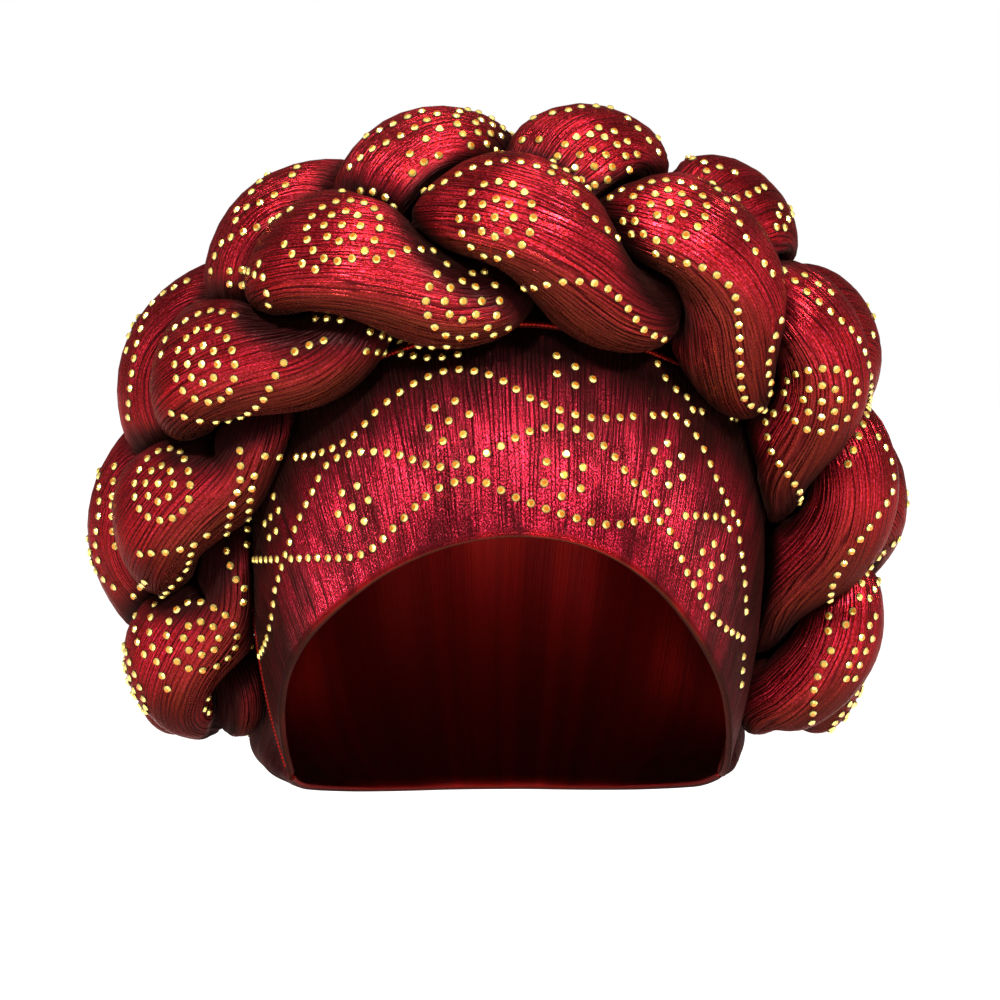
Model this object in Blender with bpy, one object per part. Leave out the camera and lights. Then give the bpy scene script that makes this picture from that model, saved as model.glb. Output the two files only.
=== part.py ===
"""Braided turban hat: a close pleated front panel, a full bonnet behind it, a rolled seam between them,
and a padded three-strand braid that is sewn over the seam like a halo. Metres, +Z up, front at -Y.
The origin is the top of the head, where the inside of the bonnet rests."""

import bpy
import numpy as np

# The head that the cap is cut for, measured to the outer face of the cloth.
HEAD_HALF_WIDTH = 0.0835
HEAD_FRONT = 0.103
HEAD_BACK = 0.105
HEAD_MIDDLE = 0.100  # the widest level lies this far below the origin
HEAD_DROP = 0.148
CLOTH = 0.0018
EAR_DROP = 0.180  # the line through both ear tips lies this far below the origin
TIP_SIDE = 87.0

# Sweep is the angle about the ear line, from straight ahead (0) over the top (90) to the back (180).
# Side is the angle out of the middle plane, from the middle (0) to an ear tip (90).
PANEL_EDGES = {
    "side": (0, 10, 20, 30, 36, 45, 60, 75, 87),
    "hem_sweep": (38.9, 38.6, 37.7, 36.5, 36.0, 35.5, 33.0, 28.0, 20.0),
    "hem_skew": (0.0, -0.5, -1.4, -2.7, -3.7, -5.5, -10.0, -14.0, -14.0),
    "seam_sweep": (62.5, 62.8, 66.5, 76.0, 83.0, 88.0, 90.0, 90.0, 90.0),
}
BONNET_EDGES = {
    "side": (0, 30, 60, 75, 87),
    "nape_sweep": (188.0, 189.0, 191.0, 193.0, 193.0),
    "fullness": (0.10, 0.15, 0.25, 0.13, 0.01),
}
FULLNESS_SKEW = 3.2  # above 1, the bonnet is fullest near the nape
GATHERS = 9
GATHER_DEPTH = 0.018
GATHER_START = 0.5  # the share of the way from the seam to the nape where the gathers begin
GATHER_FULL = 0.95

SEAM_ROLL = 0.0011
SEAM_SINK = 0.0005
SEAM_HALF_GAP = 0.00145

# The braid's centre line, from the middle of the top (0) to the end that is sewn down by an ear (1),
# and the way that its front looks there.
BRAID_PATH = {
    "along": (0.0, 0.14, 0.29, 0.45, 0.62, 0.77, 0.89, 1.0),
    "out": (0.0, 0.037, 0.068, 0.091, 0.103, 0.104, 0.101, 0.094),
    "back": (-0.074, -0.068, -0.048, -0.018, 0.010, 0.032, 0.043, 0.048),
    "up": (0.000, -0.004, -0.020, -0.048, -0.085, -0.119, -0.146, -0.167),
    "face_out": (0.0, 0.32, 0.60, 0.85, 0.95, 0.96, 0.95, 0.95),
    "face_front": (0.52, 0.48, 0.38, 0.30, 0.27, 0.25, 0.22, 0.20),
    "face_up": (0.85, 0.81, 0.68, 0.36, 0.05, -0.10, -0.17, -0.20),
    "size": (1.0, 1.0, 1.0, 1.0, 1.0, 0.95, 0.80, 0.50),
    "pitch": (0.050, 0.051, 0.056, 0.060, 0.062, 0.062, 0.062, 0.062),
}
STRANDS = 3
PHASE_AT_TOP = 232.0
STRAND_SPREAD = 0.0225
STRAND_STEEPNESS = 0.05  # above 0, a strand crosses the middle faster than along a sine
STRAND_RISE = 0.0130
RISE_LEAD = 15.0  # degrees by which a strand rises and dives ahead of its swing
STRAND_HALF_WIDTH = 0.0230
STRAND_HALF_DEPTH = 0.0145
TURN_DEPTH_GAIN = 0.0045
TURN_WIDTH_LOSS = 0.0030
LEAST_SEAT = 0.0065  # no strand's centre line comes closer to the cap
SEAT_EASE = 0.003
STRAND_GAP = 0.0014
CAP_GAP = 0.0012
TIGHTEST_BEND = 0.7  # a strand never reaches further into a bend than this share of its radius
LEAST_ADVANCE = 0.0010  # from ring to ring, also on the inside of a bend
STRAND_RINGS = 106
STRAND_SIDES = 12

CRIMSON = (0.42, 0.012, 0.045)


def from_table(table, column, where, key="side", odd=False):
    """A smooth curve through one column, mirrored about its first row and read at the given values."""
    half_x = np.array(table[key], float)
    half_y = np.array(table[column], float)
    xs = np.concatenate([-half_x[:0:-1], half_x])
    ys = np.concatenate([(-1 if odd else 1) * half_y[:0:-1], half_y])
    slopes = np.gradient(ys, xs)
    where = np.clip(np.asarray(where, float), xs[0], xs[-1])
    row = np.clip(np.searchsorted(xs, where, side="right") - 1, 0, len(xs) - 2)
    step = xs[row + 1] - xs[row]
    t = (where - xs[row]) / step
    return (
        (2 * t**3 - 3 * t**2 + 1) * ys[row]
        + (t**3 - 2 * t**2 + t) * step * slopes[row]
        + (3 * t**2 - 2 * t**3) * ys[row + 1]
        + (t**3 - t**2) * step * slopes[row + 1]
    )


def unit(v):
    return v / np.linalg.norm(v, axis=-1, keepdims=True)


def across(v, axis):
    """The part of v that is square to a unit axis, made a unit vector."""
    return unit(v - np.sum(v * axis, axis=-1, keepdims=True) * axis)


def head_ratio(points):
    """1 on the outer face of the close cap, under 1 inside it."""
    x, y, z = np.moveaxis(points, -1, 0)
    depth = np.where(y < 0, HEAD_FRONT, HEAD_BACK)
    height = np.where(z > -HEAD_MIDDLE, HEAD_MIDDLE + CLOTH, HEAD_DROP)
    return np.sqrt((x / HEAD_HALF_WIDTH) ** 2 + (y / depth) ** 2 + ((z + HEAD_MIDDLE) / height) ** 2)


def cap_ease(side, sweep):
    """How far the bonnet stands off the close cap there, as a share of the distance to the ear line."""
    seam = from_table(PANEL_EDGES, "seam_sweep", side)
    nape = from_table(BONNET_EDGES, "nape_sweep", side)
    part = np.clip((sweep - seam) / (nape - seam), 0, 1)
    puff = np.sin(np.pi * part**FULLNESS_SKEW)
    depth = np.clip((part - GATHER_START) / (GATHER_FULL - GATHER_START), 0, 1) * np.cos(np.radians(side))
    gather = np.cos(2 * np.pi * GATHERS * side / 180) * depth * np.sin(np.pi * part) ** 0.5
    return from_table(BONNET_EDGES, "fullness", side) * puff + GATHER_DEPTH * gather


def ear_middle():
    return np.array([0.0, 0.0, -EAR_DROP])


def cap_ratio(points):
    """1 on the outer face of the panel or the bonnet, with its fullness."""
    d = points - ear_middle()
    side = np.degrees(np.arcsin(d[..., 0] / np.linalg.norm(d, axis=-1)))
    sweep = np.degrees(np.arctan2(d[..., 2], -d[..., 1]))
    sweep = np.where(sweep < -90, sweep + 360, sweep)
    return head_ratio(ear_middle() + d / (1 + cap_ease(side, sweep))[..., None])


def cap_point(side, sweep):
    """The point of the cap's outer face in that direction from the middle of the ear line."""
    side, sweep = np.broadcast_arrays(np.asarray(side, float), np.asarray(sweep, float))
    a, b = np.radians(side), np.radians(sweep)
    direction = np.stack([np.sin(a), -np.cos(a) * np.cos(b), np.cos(a) * np.sin(b)], -1)
    low = np.zeros(side.shape)
    high = low + 0.3
    for _ in range(40):
        middle = (low + high) / 2
        inside = head_ratio(ear_middle() + direction * middle[..., None]) < 1
        low = np.where(inside, middle, low)
        high = np.where(inside, high, middle)
    return ear_middle() + direction * (low * (1 + cap_ease(side, sweep)))[..., None]


def cap_normal(side, sweep):
    step = 0.4
    over = cap_point(side + step, sweep) - cap_point(side - step, sweep)
    along = cap_point(side, sweep + step) - cap_point(side, sweep - step)
    return unit(np.cross(over, along))


def seam_half_angle(side):
    """Half the sweep between the panel's edge and the bonnet's, for a gap that is even in width."""
    before, seam, after = (from_table(PANEL_EDGES, "seam_sweep", side + step) for step in (-0.5, 0, 0.5))
    slope = after - before
    narrow = np.cos(np.radians(side))
    reach = np.linalg.norm(cap_point(side, seam) - ear_middle(), axis=-1)
    return np.degrees(SEAM_HALF_GAP * np.sqrt(1 + (slope * narrow) ** 2) / (reach * narrow))


def new_object(name, points, faces, colour, metallic, roughness):
    mesh = bpy.data.meshes.new(name)
    mesh.from_pydata([tuple(p) for p in points], [], faces)
    mesh.shade_smooth()
    material = bpy.data.materials.new(name)
    material.use_nodes = True
    shader = material.node_tree.nodes["Principled BSDF"]
    shader.inputs["Base Color"].default_value = (*colour, 1.0)
    shader.inputs["Metallic"].default_value = metallic
    shader.inputs["Roughness"].default_value = roughness
    mesh.materials.append(material)
    obj = bpy.data.objects.new(name, mesh)
    bpy.context.scene.collection.objects.link(obj)
    return obj


def grid_faces(rows, columns, wrap):
    """Quads between neighbouring rows; with wrap, a row's last point joins its first."""
    faces = []
    for r in range(rows - 1):
        for c in range(columns if wrap else columns - 1):
            n = (c + 1) % columns
            faces.append((r * columns + c, r * columns + n, (r + 1) * columns + n, (r + 1) * columns + c))
    return faces


def cloth_gore(name, low_sweep, high_sweep, columns, rows, row_bias=1.0):
    """A sheet of cloth from one ear tip over the head to the other, between two lines of sweep."""
    side = np.linspace(-TIP_SIDE, TIP_SIDE, columns)[:, None] + np.zeros(rows)
    part = 1 - np.linspace(1, 0, rows) ** row_bias
    sweep = low_sweep(side) + (high_sweep(side) - low_sweep(side)) * part
    outer = cap_point(side, sweep)
    inner = outer - CLOTH * cap_normal(side, sweep)
    rings = np.concatenate([inner, outer[:, ::-1]], axis=1)
    count = 2 * rows
    faces = grid_faces(columns, count, True)
    last = (columns - 1) * count
    for c in range(rows - 1):
        faces.append((c + 1, c, count - 1 - c, count - 2 - c))
        faces.append((last + c, last + c + 1, last + count - 2 - c, last + count - 1 - c))
    return new_object(name, rings.reshape(-1, 3), faces, CRIMSON, 0.8, 0.4)


def hem_sweep(side):
    """The front hem, which dips a little lower towards +X as the hat is worn."""
    return from_table(PANEL_EDGES, "hem_sweep", side) + from_table(PANEL_EDGES, "hem_skew", side, odd=True)


def make_panel():
    cloth_gore(
        "front_panel",
        hem_sweep,
        lambda side: from_table(PANEL_EDGES, "seam_sweep", side) - seam_half_angle(side),
        columns=43,
        rows=5,
    )


def make_bonnet():
    cloth_gore(
        "crown_bonnet",
        lambda side: from_table(PANEL_EDGES, "seam_sweep", side) + seam_half_angle(side),
        lambda side: from_table(BONNET_EDGES, "nape_sweep", side),
        columns=61,
        rows=11,
        row_bias=1.4,
    )


def make_seam():
    side = np.linspace(-TIP_SIDE + 0.3, TIP_SIDE - 0.3, 87)
    sweep = from_table(PANEL_EDGES, "seam_sweep", side)
    normal = cap_normal(side, sweep)
    centre = cap_point(side, sweep) - SEAM_SINK * normal
    along = unit(np.gradient(centre, axis=0))
    over = np.cross(along, normal)
    turn = np.linspace(2 * np.pi, 0, 5, endpoint=False)[:, None, None]
    rings = centre + SEAM_ROLL * (np.cos(turn) * over + np.sin(turn) * normal)
    rings = np.swapaxes(rings, 0, 1)
    close_tube("seam_piping", rings, along)


def close_tube(name, rings, along, dome=0.0006):
    """A tube through the rings, with a low cone over each end."""
    count, sides = rings.shape[:2]
    tips = [rings[0].mean(axis=0) - dome * along[0], rings[-1].mean(axis=0) + dome * along[-1]]
    points = np.concatenate([rings.reshape(-1, 3), tips])
    faces = grid_faces(count, sides, True)
    first, last = count * sides, count * sides + 1
    for c in range(sides):
        n = (c + 1) % sides
        faces.append((first, n, c))
        faces.append((last, (count - 1) * sides + c, (count - 1) * sides + n))
    return new_object(name, points, faces, CRIMSON, 0.8, 0.4)


def braid_centre():
    """The centre line, its direction, the braid's front and rear edge, its size and the strands' phase."""
    along = np.linspace(-1, 1, 901)
    centre = np.stack(
        [
            from_table(BRAID_PATH, "out", along, "along", odd=True),
            from_table(BRAID_PATH, "back", along, "along"),
            from_table(BRAID_PATH, "up", along, "along"),
        ],
        -1,
    )
    face = np.stack(
        [
            from_table(BRAID_PATH, "face_out", along, "along", odd=True),
            -from_table(BRAID_PATH, "face_front", along, "along"),
            from_table(BRAID_PATH, "face_up", along, "along"),
        ],
        -1,
    )
    direction = unit(np.gradient(centre, axis=0))
    face = across(face, direction)
    rear = np.cross(face, direction)
    steps = np.linalg.norm(np.diff(centre, axis=0), axis=1)
    pitch = from_table(BRAID_PATH, "pitch", along, "along")
    turns = np.concatenate([[0], np.cumsum(steps / (STRANDS * (pitch[1:] + pitch[:-1]) / 2))])
    turns -= turns[len(turns) // 2]
    size = from_table(BRAID_PATH, "size", along, "along")
    return centre, direction, face, rear, size, 2 * np.pi * turns


def strand_sections(number):
    """Centres, axes and half sizes of one strand's sections, wide across the braid and thin through it."""
    centre, direction, face, rear, size, turned = braid_centre()
    phase = np.radians(PHASE_AT_TOP + number * 360 / STRANDS) + turned
    swing = (np.sin(phase) + STRAND_STEEPNESS * np.sin(3 * phase)) / (1 - STRAND_STEEPNESS)
    middle = (
        centre
        + (STRAND_SPREAD * size * swing)[:, None] * rear
        + (STRAND_RISE * size * np.sin(2 * phase + np.radians(RISE_LEAD)))[:, None] * face
    )
    short = LEAST_SEAT * size - (cap_ratio(middle) - 1) * HEAD_HALF_WIDTH
    middle = middle + ((short + np.hypot(short, SEAT_EASE)) / 2)[:, None] * face
    along = unit(np.gradient(middle, axis=0))
    depth_axis = across(face, along)
    turn = np.sin(phase) ** 4
    half_width = size * (STRAND_HALF_WIDTH - TURN_WIDTH_LOSS * turn)
    half_depth = size * (STRAND_HALF_DEPTH + TURN_DEPTH_GAIN * turn)
    bend = np.gradient(along, axis=0) / np.linalg.norm(np.gradient(middle, axis=0), axis=1)[:, None]
    return middle, along, np.cross(along, depth_axis), depth_axis, half_width, half_depth, bend


def strand_ratio(points, sections):
    """Under 1 inside a strand that nothing presses on."""
    middle, along, wide, deep, half_width, half_depth, _ = sections
    keep = slice(None, None, 3)
    best = np.full(len(points), 1e9)
    for block in range(0, len(points), 2000):
        d = points[block : block + 2000, None] - middle[None, keep]
        ratio = (
            (np.sum(d * wide[keep], axis=-1) / half_width[keep]) ** 2
            + (np.sum(d * deep[keep], axis=-1) / half_depth[keep]) ** 2
            + (np.sum(d * along[keep], axis=-1) / STRAND_HALF_DEPTH) ** 2
        )
        best[block : block + 2000] = np.sqrt(ratio.min(axis=1))
    return best


def pressed_strand(number, every):
    """The strand's rings, each point drawn in until it clears the other strands and the cap."""
    middle, along, wide, deep, half_width, half_depth, bend = (v[every] for v in strand_sections(number))
    others = [strand_sections(k) for k in range(STRANDS) if k != number]
    turn = np.linspace(2 * np.pi, 0, STRAND_SIDES, endpoint=False)
    spoke = (half_width[:, None] * np.cos(turn))[..., None] * wide[:, None]
    spoke = spoke + (half_depth[:, None] * np.sin(turn))[..., None] * deep[:, None]
    share = np.linspace(0, 1, 21)
    margin = STRAND_GAP / (STRAND_HALF_WIDTH + STRAND_HALF_DEPTH)
    reach = np.minimum(1, TIGHTEST_BEND / np.maximum(np.sum(spoke * bend[:, None], axis=-1), 0.01))
    points = middle[:, None, None] + spoke[:, :, None] * share[:, None]
    flat = points.reshape(-1, 3)
    spare = np.full(len(flat), 1e9)
    for other in others:
        spare = np.minimum(spare, strand_ratio(flat, other) - margin * 2)
    spare = spare.reshape(points.shape[:3]) - share
    cap_spare = cap_ratio(flat).reshape(points.shape[:3]) - 1 - CAP_GAP / HEAD_HALF_WIDTH
    spare = np.minimum(spare, cap_spare * 5)
    for r in range(spoke.shape[0]):
        for c in range(spoke.shape[1]):
            bad = np.flatnonzero(spare[r, c] < 0)
            if len(bad):
                k = max(bad[0], 1)
                before, after = max(spare[r, c, k - 1], 0), spare[r, c, k]
                clear = share[k - 1] + (share[k] - share[k - 1]) * before / (before - after)
                reach[r, c] = min(reach[r, c], clear)
    padded = np.pad(reach, ((1, 1), (0, 0)), mode="edge")
    reach = np.minimum(reach, (padded[:-2] + padded[2:]) / 4 + reach / 2)
    ahead = unit(along[1:] + along[:-1])
    for _ in range(20):
        rings = middle[:, None] + spoke * reach[..., None]
        folded = np.sum((rings[1:] - rings[:-1]) * ahead[:, None], axis=-1) < LEAST_ADVANCE
        reach[1:][folded] *= 0.9
        reach[:-1][folded] *= 0.9
    return middle[:, None] + spoke * reach[..., None], along


def make_braid():
    total = len(braid_centre()[0])
    every = np.round(np.linspace(0, total - 1, STRAND_RINGS)).astype(int)
    for number in range(STRANDS):
        rings, along = pressed_strand(number, every)
        close_tube("braid_strand_%d" % (number + 1), rings, along, dome=0.003)


def main():
    for old in list(bpy.data.objects):
        bpy.data.objects.remove(old, do_unlink=True)
    make_panel()
    make_bonnet()
    make_seam()
    make_braid()


if __name__ == "__main__":
    main()
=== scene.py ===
import bpy
import numpy as np
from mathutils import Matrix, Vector
from mathutils.bvhtree import BVHTree


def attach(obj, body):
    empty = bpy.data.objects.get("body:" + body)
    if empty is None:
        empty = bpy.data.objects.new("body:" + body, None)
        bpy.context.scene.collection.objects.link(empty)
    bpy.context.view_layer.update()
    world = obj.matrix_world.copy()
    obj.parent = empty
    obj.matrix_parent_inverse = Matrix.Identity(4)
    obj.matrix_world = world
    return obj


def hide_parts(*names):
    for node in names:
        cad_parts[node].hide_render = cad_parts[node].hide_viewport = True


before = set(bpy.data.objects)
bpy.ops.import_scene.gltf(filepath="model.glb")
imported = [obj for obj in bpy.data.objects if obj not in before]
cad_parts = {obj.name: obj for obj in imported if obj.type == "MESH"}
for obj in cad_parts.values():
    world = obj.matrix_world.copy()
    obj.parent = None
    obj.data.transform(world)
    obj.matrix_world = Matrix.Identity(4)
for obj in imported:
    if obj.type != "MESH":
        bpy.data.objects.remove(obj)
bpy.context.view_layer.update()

mm = 0.001

# The form that the cap is cut on, in metres, with the inside top of the crown at the origin.
head = {
    "halfWidth": 0.0835,
    "front": 0.103,
    "back": 0.105,
    "middle": 0.100,
    "drop": 0.148,
    "cloth": 0.0018,
    "earDrop": 0.180,
    "tipSide": 87.0,
}
panelEdges = {
    "side": (0, 10, 20, 30, 36, 45, 60, 75, 87),
    "hemSweep": (38.9, 38.6, 37.7, 36.5, 36.0, 35.5, 33.0, 28.0, 20.0),
    "hemSkew": (0.0, -0.5, -1.4, -2.7, -3.7, -5.5, -10.0, -14.0, -14.0),
    "seamSweep": (62.5, 62.8, 66.5, 76.0, 83.0, 88.0, 90.0, 90.0, 90.0),
}
bonnetEdges = {
    "side": (0, 30, 60, 75, 87),
    "napeSweep": (188.0, 189.0, 191.0, 193.0, 193.0),
    "fullness": (0.10, 0.15, 0.25, 0.13, 0.01),
}
bonnetFolds = {"skew": 3.2, "gathers": 9, "depth": 0.018, "start": 0.5, "full": 0.95}


def smoothCurve(xs, ys, where):
    # a smooth curve through the points, read at each place of where
    slopes = np.gradient(ys, xs)
    row = np.clip(np.searchsorted(xs, where, side="right") - 1, 0, len(xs) - 2)
    step = xs[row + 1] - xs[row]
    t = (where - xs[row]) / step
    return (
        (2 * t**3 - 3 * t**2 + 1) * ys[row]
        + (t**3 - 2 * t**2 + t) * step * slopes[row]
        + (3 * t**2 - 2 * t**3) * ys[row + 1]
        + (t**3 - t**2) * step * slopes[row + 1]
    )


def fromTable(table, column, where, key="side", odd=False):
    # a smooth curve through one column, mirrored about its first row
    halfX = np.array(table[key], float)
    halfY = np.array(table[column], float)
    xs = np.concatenate([-halfX[:0:-1], halfX])
    ys = np.concatenate([(-1 if odd else 1) * halfY[:0:-1], halfY])
    return smoothCurve(xs, ys, np.clip(np.asarray(where, float), xs[0], xs[-1]))


def unit(v):
    return v / np.maximum(np.linalg.norm(v, axis=-1, keepdims=True), 1e-12)


def squareTo(v, axis):
    return unit(v - np.sum(v * axis, axis=-1, keepdims=True) * axis)


def smoothStep(x):
    x = np.clip(x, 0, 1)
    return x * x * (3 - 2 * x)


def headRatio(points):
    # 1 on the outer face of the close cap, under 1 inside it
    x, y, z = np.moveaxis(points, -1, 0)
    depth = np.where(y < 0, head["front"], head["back"])
    height = np.where(z > -head["middle"], head["middle"] + head["cloth"], head["drop"])
    return np.sqrt((x / head["halfWidth"]) ** 2 + (y / depth) ** 2 + ((z + head["middle"]) / height) ** 2)


def capEase(side, sweep):
    # how far the bonnet stands off the close cap there, as a share
    seam = fromTable(panelEdges, "seamSweep", side)
    nape = fromTable(bonnetEdges, "napeSweep", side)
    part = np.clip((sweep - seam) / (nape - seam), 0, 1)
    puff = np.sin(np.pi * part ** bonnetFolds["skew"])
    grown = np.clip((part - bonnetFolds["start"]) / (bonnetFolds["full"] - bonnetFolds["start"]), 0, 1)
    gather = np.cos(2 * np.pi * bonnetFolds["gathers"] * side / 180) * grown * np.cos(np.radians(side))
    gather = gather * np.sin(np.pi * part) ** 0.5
    return fromTable(bonnetEdges, "fullness", side) * puff + bonnetFolds["depth"] * gather


earMiddle = np.array([0.0, 0.0, -head["earDrop"]])


def capRatio(points):
    d = points - earMiddle
    side = np.degrees(np.arcsin(d[..., 0] / np.linalg.norm(d, axis=-1)))
    sweep = np.degrees(np.arctan2(d[..., 2], -d[..., 1]))
    sweep = np.where(sweep < -90, sweep + 360, sweep)
    return headRatio(earMiddle + d / (1 + capEase(side, sweep))[..., None])


def capPoint(side, sweep):
    side, sweep = np.broadcast_arrays(np.asarray(side, float), np.asarray(sweep, float))
    a, b = np.radians(side), np.radians(sweep)
    direction = np.stack([np.sin(a), -np.cos(a) * np.cos(b), np.cos(a) * np.sin(b)], -1)
    # the form ends nearer than this, and each halving brings the two distances closer
    farthest, halvings = 0.3, 34
    low = np.zeros(side.shape)
    high = low + farthest
    for _ in range(halvings):
        middle = (low + high) / 2
        inside = headRatio(earMiddle + direction * middle[..., None]) < 1
        low = np.where(inside, middle, low)
        high = np.where(inside, high, middle)
    return earMiddle + direction * (low * (1 + capEase(side, sweep)))[..., None]


def capNormal(side, sweep):
    turn = 0.4
    over = capPoint(side + turn, sweep) - capPoint(side - turn, sweep)
    along = capPoint(side, sweep + turn) - capPoint(side, sweep - turn)
    return unit(np.cross(over, along))


def hemSweep(side):
    return fromTable(panelEdges, "hemSweep", side) + fromTable(panelEdges, "hemSkew", side, odd=True)


def seamSweep(side):
    return fromTable(panelEdges, "seamSweep", side)


def napeSweep(side):
    return fromTable(bonnetEdges, "napeSweep", side)


def streaks(seed, across, along, cellsAcross, cellsAlong):
    # smooth noise that repeats once in across (0 to 1) and runs on in along (0 to 1)
    rng = np.random.default_rng(seed)
    grid = rng.uniform(-1, 1, (cellsAcross, cellsAlong + 3))
    a = across * cellsAcross
    b = along * cellsAlong
    i = np.floor(a).astype(int)
    j = np.clip(np.floor(b).astype(int), 0, cellsAlong)
    s = smoothStep(a - i)
    t = smoothStep(b - j)
    low = grid[i % cellsAcross, j] * (1 - t) + grid[i % cellsAcross, j + 1] * t
    high = grid[(i + 1) % cellsAcross, j] * (1 - t) + grid[(i + 1) % cellsAcross, j + 1] * t
    return low * (1 - s) + high * s


def sunken(noise):
    # from 0 at the tops of the folds down to -1, with the noise clipped at its usual reach
    reach = 1.2
    return (np.clip(noise, -reach, reach) - reach) / (2 * reach)


def addObject(name, data):
    made = bpy.data.objects.new(name, data)
    bpy.context.scene.collection.objects.link(made)
    return made


def newPiece(name, points, faces, material, uv, layers):
    # uv and layers hold one value for each point
    mesh = bpy.data.meshes.new(name)
    mesh.vertices.add(len(points))
    mesh.vertices.foreach_set("co", np.asarray(points, np.float32).ravel())
    faces = np.asarray(faces, np.int32)
    count, corners = faces.shape
    mesh.loops.add(count * corners)
    mesh.loops.foreach_set("vertex_index", faces.ravel())
    mesh.polygons.add(count)
    mesh.polygons.foreach_set("loop_start", np.arange(0, count * corners, corners, dtype=np.int32))
    mesh.update(calc_edges=True)
    mesh.validate()
    mesh.shade_smooth()
    layer = mesh.uv_layers.new(name="cloth")
    layer.data.foreach_set("uv", np.asarray(uv, np.float32)[faces.ravel()].ravel())
    for key, values in layers.items():
        attribute = mesh.attributes.new(key, "FLOAT", "POINT")
        attribute.data.foreach_set("value", np.asarray(values, np.float32).ravel())
    mesh.materials.append(material)
    return addObject(name, mesh)


def tubeFaces(rings, sides):
    base, c = np.meshgrid(np.arange(rings - 1) * sides, np.arange(sides), indexing="ij")
    n = (c + 1) % sides
    above = base + sides
    return np.stack([base + c, base + n, above + n, above + c], -1).reshape(-1, 4)


def tubeEnds(rings, sides):
    # fans of quads to two end points, which come after all the rings
    first, last = rings * sides, rings * sides + 1
    base = (rings - 1) * sides
    c = np.arange(0, sides, 2)
    low = np.stack([first + 0 * c, (c + 2) % sides, c + 1, c], -1)
    high = np.stack([last + 0 * c, base + c, base + c + 1, base + (c + 2) % sides], -1)
    return np.concatenate([low, high])


def walkedAlong(points):
    # the length walked from the first point to each one
    steps = np.linalg.norm(np.diff(points, axis=0), axis=1)
    return np.concatenate([[0], np.cumsum(steps)])


# Materials. A Mix node has a pair of inputs for each kind of value.
mixSlots = {"share": 0, "low": 6, "high": 7, "result": 2}


def newMaterial(name):
    material = bpy.data.materials.new(name)
    material.use_nodes = True
    return material, material.node_tree, material.node_tree.nodes["Principled BSDF"]


def fillSockets(tree, node, values):
    # each value is a number, a colour, a vector or another node's output
    for name, value in values.items():
        socket = node.inputs[name]
        if isinstance(value, bpy.types.NodeSocket):
            tree.links.new(value, socket)
        elif socket.type == "RGBA":
            socket.default_value = (*value, 1.0)
        else:
            socket.default_value = value


def addNode(tree, kind, values, **settings):
    made = tree.nodes.new(kind)
    for key, value in settings.items():
        setattr(made, key, value)
    fillSockets(tree, made, values)
    return made


def mixColours(tree, share, low, high):
    values = {mixSlots["share"]: share, mixSlots["low"]: low, mixSlots["high"]: high}
    return addNode(tree, "ShaderNodeMix", values, data_type="RGBA").outputs[mixSlots["result"]]


def fadeBetween(tree, value, ends):
    values = {"Value": value, "From Min": ends[0], "From Max": ends[1]}
    node = addNode(tree, "ShaderNodeMapRange", values, clamp=True, interpolation_type="SMOOTHSTEP")
    return node.outputs["Result"]


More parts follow.
